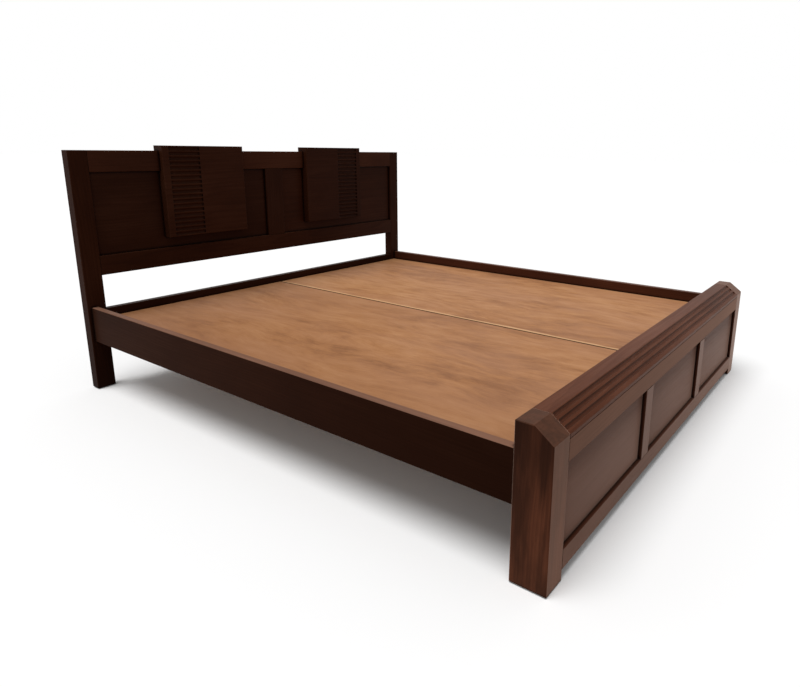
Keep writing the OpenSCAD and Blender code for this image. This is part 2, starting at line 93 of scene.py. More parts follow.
FOOTBOARD = {
    "foot_post_left": {
        "axis": "Z", "tone": 2.60, "gloss": 0.005, "bloom": 0.70,
        "foot_painted_sheen": 0.35, "top_painted_sheen": 0.20, "knotty": 1.0, "dark_end": 0.55,
    },
    "foot_post_right": {"axis": "Z", "tone": 1.50, "gloss": 0.02, "bloom": 0.70, "top_painted_sheen": 0.20},
    "footboard_cap": {"axis": "X", "tone": 2.05, "gloss": 0.012, "bloom": 0.3},
    "footboard_top_rail": {
        "axis": "X", "tone": 1.60, "gloss": 0.0, "bloom": 0.58, "foot_painted_sheen": 0.40,
    },
    "footboard_bottom_rail": {
        "axis": "X", "tone": 1.80, "gloss": 0.01, "bloom": 0.42, "foot_painted_sheen": 0.40,
    },
    "footboard_mullion_left": {"axis": "Z", "tone": 1.50, "gloss": 0.02, "bloom": 0.65},
    "footboard_mullion_right": {"axis": "Z", "tone": 1.50, "gloss": 0.02, "bloom": 0.60},
    "footboard_panel_left": {"axis": "X", "tone": 1.60, "gloss": 0.01, "bloom": 0.86},
    "footboard_panel_centre": {"axis": "X", "tone": 1.60, "gloss": 0.01, "bloom": 0.62},
    "footboard_panel_right": {"axis": "X", "tone": 1.50, "gloss": 0.01, "bloom": 0.57},
    "foot_cross_rail": {"axis": "X", "tone": 1.60, "gloss": 0.08},
}
SIDE_RAILS = {
    "side_rail_left": {
        "axis": "Y", "tone": 0.70, "gloss": 0.005, "bloom": 0.06,
        "top_painted_sheen": 0.85, "knotty": 0.1, "dark_end": -0.60,
    },
    "side_rail_right": {"axis": "Y", "tone": 1.75, "gloss": 0.05, "top_painted_sheen": 0.3, "knotty": 0.1},
}
# How strong the painted highlight and the painted shadow along the joint are on each deck board,
# and its painted shade towards its head end and along its rail
DECK_BOARDS = {
    "deck_board_left": {"joint_shadow": 0.9, "painted_head_shade": 0.30, "painted_rail_shade": 0.30},
    "deck_board_right": {"rubbed": 0.9},
}
UNDERFRAME = {
    "side_ledger_left": {"axis": "Y"},
    "side_ledger_right": {"axis": "Y"},
    **{f"deck_bearer_{i}": {"axis": "X"} for i in range(1, 7)},
    "centre_beam": {"axis": "Y"},
    "beam_cleats": {"axis": "X"},
    "centre_leg_head": {"axis": "Z"},
    "centre_leg_middle": {"axis": "Z"},
    "centre_leg_foot": {"axis": "Z"},
    "cap_dowels": {"axis": "Z"},
}
PLATES = ("rail_hook_plates", "post_slot_plates", "leg_bolts")
SCREWS = ("plate_screws", "ledger_screws", "bearer_screws", "block_screws", "cleat_screws")

# Cells per metre of each pattern along X, Y and Z: in solid wood turned so that its grain is on Z
SWAY_CELLS = (5.0, 5.0, 1.1)
RAGGED_CELLS = (60.0, 60.0, 3.0)
FIBRE_CELLS = (150.0, 150.0, 2.6)
PORE_CELLS = (1100.0, 1100.0, 32.0)
BLOTCH_CELLS = (4.0, 4.0, 1.6)
BAND_CELLS = (34.0, 34.0, 4.5)
SOFTWOOD_KNOT_CELLS = (9.0, 9.0, 3.4)
# On boards as they stand in the bed
KNOT_CELLS = (2.0, 26.0, 13.0)
KNOT_EDGE_CELLS = (30.0, 60.0, 30.0)
RUB_CELLS = (45.0, 45.0, 45.0)
# On the deck's veneer, whose grain runs along Y
VENEER_SWAY_CELLS = (3.0, 1.2, 1.0)
STREAK_CELLS = (34.0, 6.5, 1.0)
VENEER_BAND_CELLS = (9.0, 1.1, 1.0)
CLOUD_CELLS = (2.6, 1.7, 1.0)
VENEER_FIBRE_CELLS = (420.0, 14.0, 1.0)
MOTTLE_CELLS = (24.0, 8.0, 1.0)
DRIFT_CELLS = (4.2, 2.1, 1.0)
# On the fittings
CLOUDY_ZINC_CELLS = (140.0, 140.0, 140.0)
SCRATCH_CELLS = (3000.0, 300.0, 300.0)
MOULDED_CELLS = (2200.0, 2200.0, 2200.0)
SCUFF_CELLS = (260.0, 260.0, 60.0)

# The tree that a board is sawn from, in metres: how far its heart leans in each metre, how far it
# lies from the board's middle through the board's thickness and across it, and how far off the
# board's piece of the pattern may start
HEART_LEAN = (0.020, 0.013)
HEART_DEPTH = (0.05, 0.11)
HEART_ASIDE = 0.03
PATTERN_REACH = 9.0
# How widely the grain wanders, in metres
STAINED_WANDER = 0.05
SOFTWOOD_WANDER = 0.04
VENEER_WANDER = (0.22, 0.22, 0.0)
# How ragged the growth rings and the knots are, by their own size, and how late in a ring the wood
# turns dark
RING_RAGGEDNESS = 0.9
KNOT_RAGGEDNESS = (0.6, 0.6, 0.6)
LATE_WOOD_POWER = 2.2
# How light the stain's deep tone is in the pores, in knots, at a dark end, and in the painted
# shade of inner corners
PORE_STAIN = 0.6
KNOT_STAIN = 0.7
END_STAIN = 0.5
PAINTED_CORNER_SHADE = 0.35
# How light the painted sheen is over the darkest and the lightest grain, by its own colour
PAINTED_SHEEN_THIN = 0.78
PAINTED_SHEEN_THICK = 1.22
# Rays that look for an arris and for an inner corner
ARRIS_SAMPLES = 6
CORNER_SAMPLES = 8

SCREW_SIZES = (
    "Length", "Head radius", "Head height", "Core radius", "Thread pitch", "Thread height",
    "Recess",
)
# A screw's proportions: its core and the blades that cut its recess by the head's radius, its tip
# by the core's radius, and the share of its shank that has a thread
CORE_SHARE = 0.40
BLADE_LENGTH = 1.15
BLADE_WIDTH = 0.26
TIP_LENGTH = 2.0
TIP_END = 0.1
THREADED_SHARE = 0.72
# Sides of its round parts, and steps in one turn of its thread
HEAD_SIDES = 24
SHANK_SIDES = 16
RIDGE_SIDES = 3
TURN_STEPS = 10
# Corners nearer than this, in metres, are one
WELD = 1e-6

WHITE = (1.0, 1.0, 1.0)
# From the bed's middle to the floor's edge, in bed lengths
FLOOR_REACH = 30
SENSOR_MM = 36.0


def colour(name, description, value):
    return FloatVectorProperty(
        name=name, description=description, default=value, subtype="COLOR", size=3, min=0.0, max=1.0
    )


def length(name, description, value):
    return FloatProperty(
        name=name, description=description, default=value, subtype="DISTANCE", unit="LENGTH"
    )


def share(name, description, value):
    return FloatProperty(
        name=name, description=description, default=value, subtype="FACTOR", min=0.0, max=1.0
    )


def strength(name, description, value):
    return FloatProperty(name=name, description=description, default=value, min=0.0)


def angle(name, description, degrees):
    return FloatProperty(
        name=name, description=description, default=math.radians(degrees),
        subtype="ANGLE", unit="ROTATION",
    )


class BedStain(bpy.types.PropertyGroup):
    """Dark stain and satin lacquer of the boards that show"""

    deep: colour("Deep tone", "Colour of the darkest grain", (0.022, 0.0068, 0.0036))
    middle: colour("Middle tone", "Colour of most of the grain", (0.042, 0.0128, 0.0060))
    light: colour("Light tone", "Colour of the lightest grain", (0.070, 0.0250, 0.0130))
    worn: colour("Worn tone", "Colour of rubbed edges", (0.150, 0.066, 0.036))
    # Colour of the painted sheen on faces towards the foot and on tops
    sheen: colour("Haze", "Colour of the polish haze", (0.255, 0.130, 0.085))
    bloom: colour("Bloom", "Tint of the lacquer's bloom at a glancing angle", (1.0, 0.64, 0.50))
    wear: share("Edge wear", "How far the edges are rubbed", 0.35)
    ring: length("Ring width", "Distance from one growth ring to the next", 9 * MM)
    gloss: share("Gloss", "Strength of the lacquer's reflection seen straight on", 1.0)
    bloom_spread: share("Bloom spread", "Roughness of the lacquer's bloom", 0.36)
    smooth: share("Smoothest", "Roughness of the smoothest lacquer", 0.30)
    dull: share("Dullest", "Roughness of the dullest lacquer", 0.42)
    arris: length("Arris radius", "Radius of the softened edges", 2 * MM)
    # How far the painted shade reaches out from an inner corner
    corner: length("Corner shade", "How far stain pools from an inner corner", 14 * MM)
    seed: IntProperty(
        name="Seed", description="Picks the place of each board in its tree", default=7
    )


class BedPlywood(bpy.types.PropertyGroup):
    """Face veneer and edges of the deck boards"""

    dark: colour("Dark figure", "Colour of the veneer's dark streaks", (0.240, 0.104, 0.046))
    middle: colour("Face", "Colour of most of the veneer", (0.390, 0.178, 0.073))
    light: colour("Light figure", "Colour of the veneer's light streaks", (0.475, 0.237, 0.107))
    pink: colour("Pink drift", "Colour towards which the veneer drifts", (0.407, 0.203, 0.111))
    # A painted highlight along the joint on one deck board, and a painted shadow along it on the
    # other
    rubbed: colour("Rubbed edge", "Colour of the face rubbed at the joint", (0.640, 0.370, 0.190))
    joint_highlight_w: length("Rubbed width", "Width of the rubbed strip, from the joint", 23 * MM)
    joint_shadow: colour("Soiled edge", "Colour of the dirt along the joint", (0.110, 0.050, 0.022))
    joint_shadow_w: length("Soiled width", "Width of the soiled strip, from the joint", 8 * MM)
    edge_light: colour("Light ply", "Colour of every other ply at the edges", (0.150, 0.080, 0.040))
    edge_dark: colour("Dark ply", "Colour of the plies between", (0.070, 0.034, 0.016))
    ply: length("Ply thickness", "Thickness of one ply", 2 * MM)
    roughness: share("Roughness", "Roughness of the sanded face", 0.62)


class BedPlainWood(bpy.types.PropertyGroup):
    """Planed softwood of the underframe"""

    dark: colour("Late wood", "Colour of the dark part of a ring", (0.400, 0.230, 0.105))
    light: colour("Early wood", "Colour of the light part of a ring", (0.640, 0.450, 0.250))
    knot: colour("Knots", "Colour of the knots", (0.130, 0.055, 0.022))
    ring: length("Ring width", "Distance from one growth ring to the next", 5 * MM)
    roughness: share("Roughness", "Roughness of the planed faces", 0.68)


class BedFittings(bpy.types.PropertyGroup):
    """Steel and plastic of the small parts"""

    zinc: colour("Zinc", "Colour of the zinc plating", (0.560, 0.570, 0.590))
    plastic: colour("Plastic", "Colour of the glides", (0.018, 0.018, 0.019))
    pitch: length("Thread pitch", "Distance from one turn of a screw's thread to the next", 2 * MM)
    thread: length("Thread height", "Height of a screw's thread above its core", 0.35 * MM)
    recess: share("Recess depth", "Depth of the cross recess as a share of the head's height", 0.8)


class BedStudio(bpy.types.PropertyGroup):
    """Camera, light and floor"""

    camera: FloatVectorProperty(
        name="Camera", description="Place of the camera", default=(-2.0396, -1.5841, 0.9994),
        subtype="TRANSLATION", unit="LENGTH",
    )
    heading: angle("Heading", "Turn of the view from +X towards +Y", 35.44)
    pitch: angle("Pitch", "Tilt of the view below the horizon", 13.73)
    roll: angle("Roll", "Turn of the camera about its view", 0.78)
    focal: FloatProperty(
        name="Focal length", description="Lens on a 36 mm wide sensor, in mm", default=27.39
    )
    shift: FloatVectorProperty(
        name="Shift", description="Shift of the lens, in widths of the picture",
        default=(-0.0699, -0.0565), size=2,
    )
    floor: colour("Floor", "Colour of the floor in the light it sends back", (0.45, 0.45, 0.45))
    open_floor: share("Open floor", "How much of the white floor's tone takes shadows", 0.97)
    sky: strength("Room light", "Strength of the light from all round", 0.37)
    key: strength("Overhead light", "Strength of the light overhead", 2.25)
    spread: angle("Overhead spread", "Width of the light overhead, as seen from the bed", 38)
    lean_head: angle("Lean to the head", "How far the light overhead stands towards the head", 3)
    lean_side: angle("Lean to the left", "How far the light overhead stands towards the left", 19)


GROUPS = {
    "bed_stain": BedStain,
    "bed_plywood": BedPlywood,
    "bed_plain_wood": BedPlainWood,
    "bed_fittings": BedFittings,
    "bed_studio": BedStudio,
}


def feed(tree, node, inputs):
    """Sets a node's inputs, each a value or another node's output."""
    for name, value in inputs.items():
        if isinstance(value, bpy.types.NodeSocket):
            tree.links.new(value, node.inputs[name])
        else:
            node.inputs[name].default_value = value


def add(tree, kind, inputs=None, **settings):
    """Adds a node to a tree, with its settings and inputs."""
    node = tree.nodes.new(kind)
    for name, value in settings.items():
        setattr(node, name, value)
    feed(tree, node, inputs or {})
    return node


def maths(tree, operation, a, b=0.0):
    return add(tree, "ShaderNodeMath", {0: a, 1: b}, operation=operation).outputs[0]


def times(tree, a, b):
    return maths(tree, "MULTIPLY", a, b)


def weighted(tree, *parts):
    """The sum of patterns, each a pair of an output and its weight."""
    total, *rest = [times(tree, value, weight) for value, weight in parts]
    for part in rest:
        total = maths(tree, "ADD", total, part)
    return total


def vector_maths(tree, operation, a, b=(0.0, 0.0, 0.0)):
    return add(tree, "ShaderNodeVectorMath", {0: a, 1: b}, operation=operation).outputs[0]


def centred(tree, colours):
    """A noise's colours, moved to lie round zero."""
    return vector_maths(tree, "SUBTRACT", colours, (0.5, 0.5, 0.5))


def split(tree, vector):
    """A vector's three parts."""
    return add(tree, "ShaderNodeSeparateXYZ", {0: vector}).outputs


def flat_normal(tree):
    """The way a face looks, before its arrises are rounded."""
    return add(tree, "ShaderNodeNewGeometry").outputs["Normal"]


def seen(tree):
    """1 for rays from the camera and for those that gloss or glass sends on, and 0 for the rest."""
    rays = add(tree, "ShaderNodeLightPath").outputs
    sent_on = maths(tree, "MAXIMUM", rays["Is Glossy Ray"], rays["Is Transmission Ray"])
    return maths(tree, "MAXIMUM", rays["Is Camera Ray"], sent_on)


def noise(tree, place, cells, detail=2.0, roughness=0.5):
    """A noise with so many cells per metre along X, Y and Z."""
    return add(tree, "ShaderNodeTexNoise", {
        "Vector": vector_maths(tree, "MULTIPLY", place, cells),
        "Scale": 1.0, "Detail": detail, "Roughness": roughness,
    })


def remap(tree, value, low, high, to_low=0.0, to_high=1.0, smooth=False):
    """A value moved from one range to another, and kept inside it."""
    kind = "SMOOTHSTEP" if smooth else "LINEAR"
    ends = {"From Min": low, "From Max": high, "To Min": to_low, "To Max": to_high}
    return add(
        tree, "ShaderNodeMapRange", {"Value": value, **ends}, interpolation_type=kind
    ).outputs[0]


def mix(tree, factor, a, b):
    return add(tree, "ShaderNodeMix", {0: factor, 6: a, 7: b}, data_type="RGBA").outputs[2]


def opaque(rgb, scale=1.0):
    """A colour made lighter or darker, with its alpha."""
    return (*[c * scale for c in rgb], 1.0)


def ramp(tree, factor, *stops):
    """A colour ramp whose stops are pairs of a place and a colour."""
    node = add(tree, "ShaderNodeValToRGB", {0: factor})
    elements = node.color_ramp.elements
    while len(elements) < len(stops):
        elements.new(0.5)
    for element, (place, rgba) in zip(elements, stops):
        element.position = place
        element.color = rgba
    return node.outputs[0]


def new_group(name, inputs, outputs):
    tree = bpy.data.node_groups.new(name, "ShaderNodeTree")
    for label, kind in inputs.items():
        tree.interface.new_socket(name=label, in_out="INPUT", socket_type=kind)
    for label in outputs:
        tree.interface.new_socket(name=label, in_out="OUTPUT", socket_type="NodeSocketFloat")
    return tree, tree.nodes.new("NodeGroupInput"), tree.nodes.new("NodeGroupOutput")


def solid_wood_group():
    """Patterns of a board whose grain runs along Z, with the heart of its tree on the Z axis."""
    name = "Solid wood"
    if name in bpy.data.node_groups:
        return bpy.data.node_groups[name]
    sockets = {
        "Place": "NodeSocketVector", "Ring width": "NodeSocketFloat", "Wander": "NodeSocketFloat",
    }
    labels = ("Rings", "Fibres", "Pores", "Blotches")
    tree, given, made = new_group(name, sockets, labels)
    place = given.outputs["Place"]
    slow = noise(tree, place, SWAY_CELLS).outputs["Color"]
    sway = add(
        tree, "ShaderNodeVectorMath", {0: centred(tree, slow), "Scale": given.outputs["Wander"]},
        operation="SCALE",
    ).outputs[0]
    swayed = vector_maths(tree, "ADD", place, sway)
    x, y, z = split(tree, swayed)
    lean_x, lean_y = HEART_LEAN
    leaned = add(tree, "ShaderNodeCombineXYZ", {
        0: maths(tree, "ADD", x, times(tree, z, lean_x)),
        1: maths(tree, "ADD", y, times(tree, z, lean_y)),
    }).outputs[0]
    radius = add(tree, "ShaderNodeVectorMath", {0: leaned}, operation="LENGTH").outputs["Value"]
    uneven = noise(tree, swayed, RAGGED_CELLS, detail=3.0).outputs["Fac"]
    ragged = times(tree, uneven, RING_RAGGEDNESS)
    turns = maths(tree, "ADD", maths(tree, "DIVIDE", radius, given.outputs["Ring width"]), ragged)
    ring = maths(tree, "FRACT", turns)
    late_wood = maths(tree, "POWER", ring, LATE_WOOD_POWER)
    sharp_end = remap(tree, ring, 0.90, 1.0, 1.0, 0.0, smooth=True)
    pore_cells = noise(tree, swayed, PORE_CELLS, detail=1.0).outputs["Fac"]
    patterns = (
        times(tree, late_wood, sharp_end),
        noise(tree, swayed, FIBRE_CELLS, detail=6.0, roughness=0.68).outputs["Fac"],
        remap(tree, pore_cells, 0.62, 0.74),
        noise(tree, place, BLOTCH_CELLS, detail=3.0, roughness=0.55).outputs["Fac"],
    )
    for label, pattern in zip(labels, patterns):
        tree.links.new(pattern, made.inputs[label])
    return tree


def wood_patterns(tree, mapped, ring_width, wander):
    """The patterns of the solid wood group, by their names."""
    inputs = {"Place": mapped, "Ring width": ring_width, "Wander": wander}
    return add(tree, "ShaderNodeGroup", inputs, node_tree=solid_wood_group()).outputs


def new_material(name):
    """A material, its empty tree, its shader and the Object coordinates its patterns read."""
    material = bpy.data.materials.new(name)
    material.use_nodes = True
    tree = material.node_tree
    tree.nodes.clear()
    shader = tree.nodes.new("ShaderNodeBsdfPrincipled")
    output = tree.nodes.new("ShaderNodeOutputMaterial")
    tree.links.new(shader.outputs[0], output.inputs["Surface"])
    place = tree.nodes.new("ShaderNodeTexCoord").outputs["Object"]
    return material, tree, shader, place


def grain_mapping(tree, place, node_name, axis, chance):
    """Turns a board's grain on to Z and puts the heart of its tree behind one of its faces."""
    low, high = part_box(node_name)
    quarter = math.pi / 2
    turn = {"X": Euler((0, -quarter, 0)), "Y": Euler((quarter, 0, 0)), "Z": Euler((0, 0, 0))}[axis]
    size = turn.to_matrix() @ (high - low)
    centre = turn.to_matrix() @ ((low + high) / 2)
    thin_is_x = abs(size.x) < abs(size.y)
    depth = chance.uniform(*HEART_DEPTH) * chance.choice((-1, 1))
    aside = chance.uniform(-HEART_ASIDE, HEART_ASIDE)
    heart = Vector((depth, aside, 0)) if thin_is_x else Vector((aside, depth, 0))
    along = chance.uniform(-PATTERN_REACH, PATTERN_REACH)
    shift = heart - centre + Vector((0, 0, along))
    inputs = {"Vector": place, "Rotation": turn, "Location": shift}
    return add(tree, "ShaderNodeMapping", inputs).outputs[0]


def softened(tree, radius):
    """The surface's normal with its arrises rounded, and how near an arris a point is."""
    bevel = add(tree, "ShaderNodeBevel", {"Radius": radius}, samples=ARRIS_SAMPLES).outputs[0]
    both = {0: bevel, 1: flat_normal(tree)}
    agreement = add(tree, "ShaderNodeVectorMath", both, operation="DOT_PRODUCT").outputs["Value"]
    return bevel, remap(tree, agreement, 0.999, 0.90)


def stained_grain(tree, pores, shade, tone):
    """The stain's colour over the grain, darkest in the pores."""
    stain = bpy.context.scene.bed_stain
    deep, middle, light = [opaque(rgb, tone) for rgb in (stain.deep, stain.middle, stain.light)]
    base = ramp(tree, remap(tree, shade, 0.30, 1.10), (0.0, deep), (0.5, middle), (1.0, light))
    return mix(tree, times(tree, pores, 0.35), base, opaque(stain.deep, PORE_STAIN))


def branch_marks(tree, place, mapped):
    """Knots, most of them high up, and dark bands along the grain."""
    ragged = noise(tree, place, KNOT_EDGE_CELLS).outputs["Color"]
    spread = vector_maths(tree, "ADD", vector_maths(tree, "MULTIPLY", place, KNOT_CELLS),
                          vector_maths(tree, "MULTIPLY", ragged, KNOT_RAGGEDNESS))
    cells = add(tree, "ShaderNodeTexVoronoi", {"Vector": spread, "Scale": 1.0})
    knots = remap(tree, cells.outputs["Distance"], 0.42, 0.18, smooth=True)
    upper = remap(tree, split(tree, place)[2], 0.22, 0.30, 0.15, 1.0)
    wavy = noise(tree, mapped, BAND_CELLS, detail=3.0).outputs["Fac"]
    bands = remap(tree, wavy, 0.62, 0.42, 0.0, 0.85)
    return maths(tree, "MAXIMUM", times(tree, knots, upper), bands)


def darkness_to_end(tree, place, node_name, axis, dark_end):
    """How dark a board is towards its high end, or its low end where dark_end is below zero."""
    i = "XYZ".index(axis)
    low, high = (corner[i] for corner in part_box(node_name))
    end = high if dark_end > 0 else low
    return remap(tree, split(tree, place)[i], (low + high) / 2, end, 0.0, abs(dark_end))


def painted(tree, foot_painted_sheen, top_painted_sheen):
    """How much painted sheen a face gets: one that looks towards the foot or up gets it, and no
    other.
    """
    facing = split(tree, flat_normal(tree))
    return maths(tree, "ADD", remap(tree, facing[1], -0.75, -0.98, 0.0, foot_painted_sheen),
                 remap(tree, facing[2], 0.4, 0.6, 0.0, top_painted_sheen))


def stained_board(
    node_name, chance, axis, tone, gloss,
    bloom=0.0, foot_painted_sheen=0.0, top_painted_sheen=0.0, knotty=0.0, dark_end=0.0,
):
    """Stained and lacquered wood for one board, with painted shade in its inner corners and a
    painted sheen on its faces towards the foot and up.
    """
    stain = bpy.context.scene.bed_stain
    material, tree, shader, place = new_material(f"Stained {node_name.replace('_', ' ')}")
    mapped = grain_mapping(tree, place, node_name, axis, chance)
    grain = wood_patterns(tree, mapped, stain.ring * chance.uniform(0.8, 1.3), STAINED_WANDER)
    fibres, pores, blotches = grain["Fibres"], grain["Pores"], grain["Blotches"]
    shade = weighted(tree, (grain["Rings"], -0.16), (fibres, 0.50), (blotches, 0.95))
    grained = stained_grain(tree, pores, shade, tone)
    marks = times(tree, branch_marks(tree, place, mapped), knotty)
    knotted = mix(tree, times(tree, marks, 0.8), grained, opaque(stain.deep, KNOT_STAIN))
    to_end = darkness_to_end(tree, place, node_name, axis, dark_end)
    darkened = mix(tree, to_end, knotted, opaque(stain.deep, END_STAIN))
    # Ambient occlusion: paints shade into inner corners and keeps the painted sheen out of them
    openness = add(
        tree, "ShaderNodeAmbientOcclusion", {"Distance": stain.corner}, samples=CORNER_SAMPLES
    ).outputs["AO"]
    uneven = remap(tree, blotches, 0.3, 0.7, 0.82, 1.0)
    reached = times(tree, uneven, remap(tree, openness, 0.5, 0.8))
    # Painted sheen over the grain, on faces towards the foot and up, kept out of the corners
    thin, thick = opaque(stain.sheen, PAINTED_SHEEN_THIN), opaque(stain.sheen, PAINTED_SHEEN_THICK)
    painted_sheen_colour = mix(tree, remap(tree, shade, 0.45, 0.95), thin, thick)
    painted_sheen_share = times(tree, painted(tree, foot_painted_sheen, top_painted_sheen), reached)
    with_painted_sheen = mix(tree, painted_sheen_share, darkened, painted_sheen_colour)
    # Painted shade in inner corners
    corner_shade_colour = opaque(stain.deep, PAINTED_CORNER_SHADE)
    corner_shaded = mix(tree, remap(tree, openness, 0.61, 0.90), corner_shade_colour, with_painted_sheen)
    normal, edge = softened(tree, stain.arris)
    rub = remap(tree, noise(tree, place, RUB_CELLS, detail=3.0).outputs["Fac"], 0.35, 0.75)
    worn = times(tree, times(tree, edge, rub), stain.wear)
    bump = add(tree, "ShaderNodeBump", {
        "Height": weighted(tree, (fibres, 0.5), (pores, -0.7)), "Normal": normal,
        "Strength": 0.12, "Distance": 0.3 * MM,
    })
    feed(tree, shader, {
        "Base Color": mix(tree, worn, corner_shaded, opaque(stain.worn)),
        "Roughness": remap(tree, fibres, 0.3, 0.7, stain.dull, stain.smooth),
        "Specular IOR Level": gloss * stain.gloss,
        "Sheen Weight": bloom,
        "Sheen Roughness": stain.bloom_spread,
        "Sheen Tint": opaque(stain.bloom),
        "Normal": bump.outputs[0],
    })
    return material


def veneer_tone(tree, sheet):
    """How light the face veneer is at a point, and the streaks in it."""
    slow = noise(tree, sheet, VENEER_SWAY_CELLS).outputs["Color"]
    sway = vector_maths(tree, "MULTIPLY", centred(tree, slow), VENEER_WANDER)
    swayed = vector_maths(tree, "ADD", sheet, sway)
    streaks = noise(tree, swayed, STREAK_CELLS, detail=5.0, roughness=0.62).outputs["Fac"]
    bands = noise(tree, swayed, VENEER_BAND_CELLS, detail=3.0).outputs["Fac"]
    clouds = noise(tree, sheet, CLOUD_CELLS).outputs["Fac"]
    mottle = noise(tree, swayed, MOTTLE_CELLS, detail=6.0, roughness=0.7).outputs["Fac"]
    fibres = noise(tree, swayed, VENEER_FIBRE_CELLS, detail=3.0, roughness=0.6).outputs["Fac"]
    fine = maths(tree, "SUBTRACT", fibres, 0.5)
    figure = weighted(tree, (streaks, 0.36), (bands, 0.40))
    ground = weighted(tree, (clouds, 0.50), (mottle, 0.60), (fine, 0.30))
    return maths(tree, "ADD", figure, ground), streaks


def plies(tree, height):
    """Light and dark plies in turn, by height."""
    look = bpy.context.scene.bed_plywood
    layer = maths(tree, "FRACT", maths(tree, "DIVIDE", height, 2 * look.ply))
    light, dark = opaque(look.edge_light), opaque(look.edge_dark)
    return mix(tree, remap(tree, layer, 0.45, 0.55), light, dark)


def plywood_board(node_name, chance, rubbed=0.0, joint_shadow=0.0, painted_head_shade=0.0, painted_rail_shade=0.0):
    """Veneered plywood: a mottled face with painted shade towards its head end and its rail, a
    painted highlight and a painted shadow along the joint as set for each board, and plies at its
    edges.
    """
    look = bpy.context.scene.bed_plywood
    material, tree, shader, place = new_material(f"Plywood {node_name.replace('_', ' ')}")
    reach = PATTERN_REACH
    shift = Vector((chance.uniform(-reach, reach), chance.uniform(-reach, reach), 0))
    sheet = vector_maths(tree, "ADD", place, shift)
    tone, streaks = veneer_tone(tree, sheet)
    grained = ramp(
        tree, remap(tree, tone, 0.74, 1.12),
        (0.0, opaque(look.dark)), (0.5, opaque(look.middle)), (1.0, opaque(look.light)),
    )
    drifting = noise(tree, sheet, DRIFT_CELLS, detail=3.0, roughness=0.6).outputs["Fac"]
    drift = remap(tree, drifting, 0.35, 0.65)
    drifted = mix(tree, times(tree, drift, 0.45), grained, opaque(look.pink))
    across, along, height = split(tree, place)
    from_joint = maths(tree, "ABSOLUTE", across)
    # Painted shade towards the head end and along the rail
    darker = maths(tree, "ADD", remap(tree, along, -0.6, 0.9, 0.0, painted_head_shade),
                   remap(tree, from_joint, 0.5, 0.9, 0.0, painted_rail_shade))
    faced = mix(tree, darker, drifted, opaque(look.dark))
    # Painted highlight and painted shadow, in strips along the joint
    strips = (look.joint_highlight_w, rubbed, look.rubbed), (look.joint_shadow_w, joint_shadow, look.joint_shadow)
    for width, amount, rgb in strips:
        ragged = times(tree, remap(tree, streaks, 0.3, 0.7, 0.7, 1.1), width)
        strip = remap(tree, maths(tree, "DIVIDE", from_joint, ragged), 1.0, 0.7)
        faced = mix(tree, times(tree, strip, amount), faced, opaque(rgb))
    upright = maths(tree, "ABSOLUTE", split(tree, flat_normal(tree))[2])
    is_edge = remap(tree, upright, 0.9, 0.8)
    bump = add(tree, "ShaderNodeBump", {"Height": tone, "Strength": 0.12, "Distance": 0.4 * MM})
    dull, smooth = look.roughness + 0.06, look.roughness - 0.08
    feed(tree, shader, {
        "Base Color": mix(tree, is_edge, faced, plies(tree, height)),
        "Roughness": remap(tree, streaks, 0.3, 0.7, dull, smooth),
        "Specular IOR Level": 0.08,
        "Normal": bump.outputs[0],
    })
    return material


def plain_board(node_name, chance, axis):
    """Planed softwood with wide rings and a few knots."""
    look = bpy.context.scene.bed_plain_wood
    material, tree, shader, place = new_material(f"Softwood {node_name.replace('_', ' ')}")
    mapped = grain_mapping(tree, place, node_name, axis, chance)
    grain = wood_patterns(tree, mapped, look.ring * chance.uniform(0.8, 1.4), SOFTWOOD_WANDER)
    rings, fibres = grain["Rings"], grain["Fibres"]
    spread = vector_maths(tree, "MULTIPLY", mapped, SOFTWOOD_KNOT_CELLS)
    cells = add(tree, "ShaderNodeTexVoronoi", {"Vector": spread, "Scale": 1.0})
    knots = remap(tree, cells.outputs["Distance"], 0.16, 0.10, smooth=True)
    light, dark = opaque(look.light), opaque(look.dark)
    tone = weighted(tree, (rings, 0.75), (fibres, 0.35))
    base = ramp(tree, remap(tree, tone, 0.10, 0.95), (0.0, light), (1.0, dark))
    clouded = mix(tree, 0.35, base, ramp(tree, grain["Blotches"], (0.3, light), (0.7, dark)))
    bump = add(tree, "ShaderNodeBump", {"Height": fibres, "Strength": 0.2, "Distance": 0.5 * MM})
    dull, smooth = look.roughness + 0.05, look.roughness - 0.1
    feed(tree, shader, {
        "Base Color": mix(tree, knots, clouded, opaque(look.knot)),
        "Roughness": remap(tree, rings, 0.0, 1.0, dull, smooth),
        "Normal": bump.outputs[0],
    })
    return material


def zinc_plating():
    """Dull zinc with a faint cloudy bloom and fine scratches."""
    look = bpy.context.scene.bed_fittings
    material, tree, shader, place = new_material("Zinc plating")
    bloom = noise(tree, place, CLOUDY_ZINC_CELLS, detail=4.0, roughness=0.6).outputs["Fac"]
    scratches = noise(tree, place, SCRATCH_CELLS).outputs["Fac"]
    height = maths(tree, "ADD", bloom, times(tree, scratches, 0.5))
    bump = add(tree, "ShaderNodeBump", {"Height": height, "Strength": 0.1, "Distance": 0.1 * MM})
    dark, light = opaque(look.zinc, 0.82), opaque(look.zinc, 1.12)
    feed(tree, shader, {
        "Base Color": ramp(tree, bloom, (0.3, dark), (0.7, light)),
        "Metallic": 1.0,
        "Roughness": remap(tree, scratches, 0.3, 0.7, 0.30, 0.46),
        "Normal": bump.outputs[0],
    })
    return material


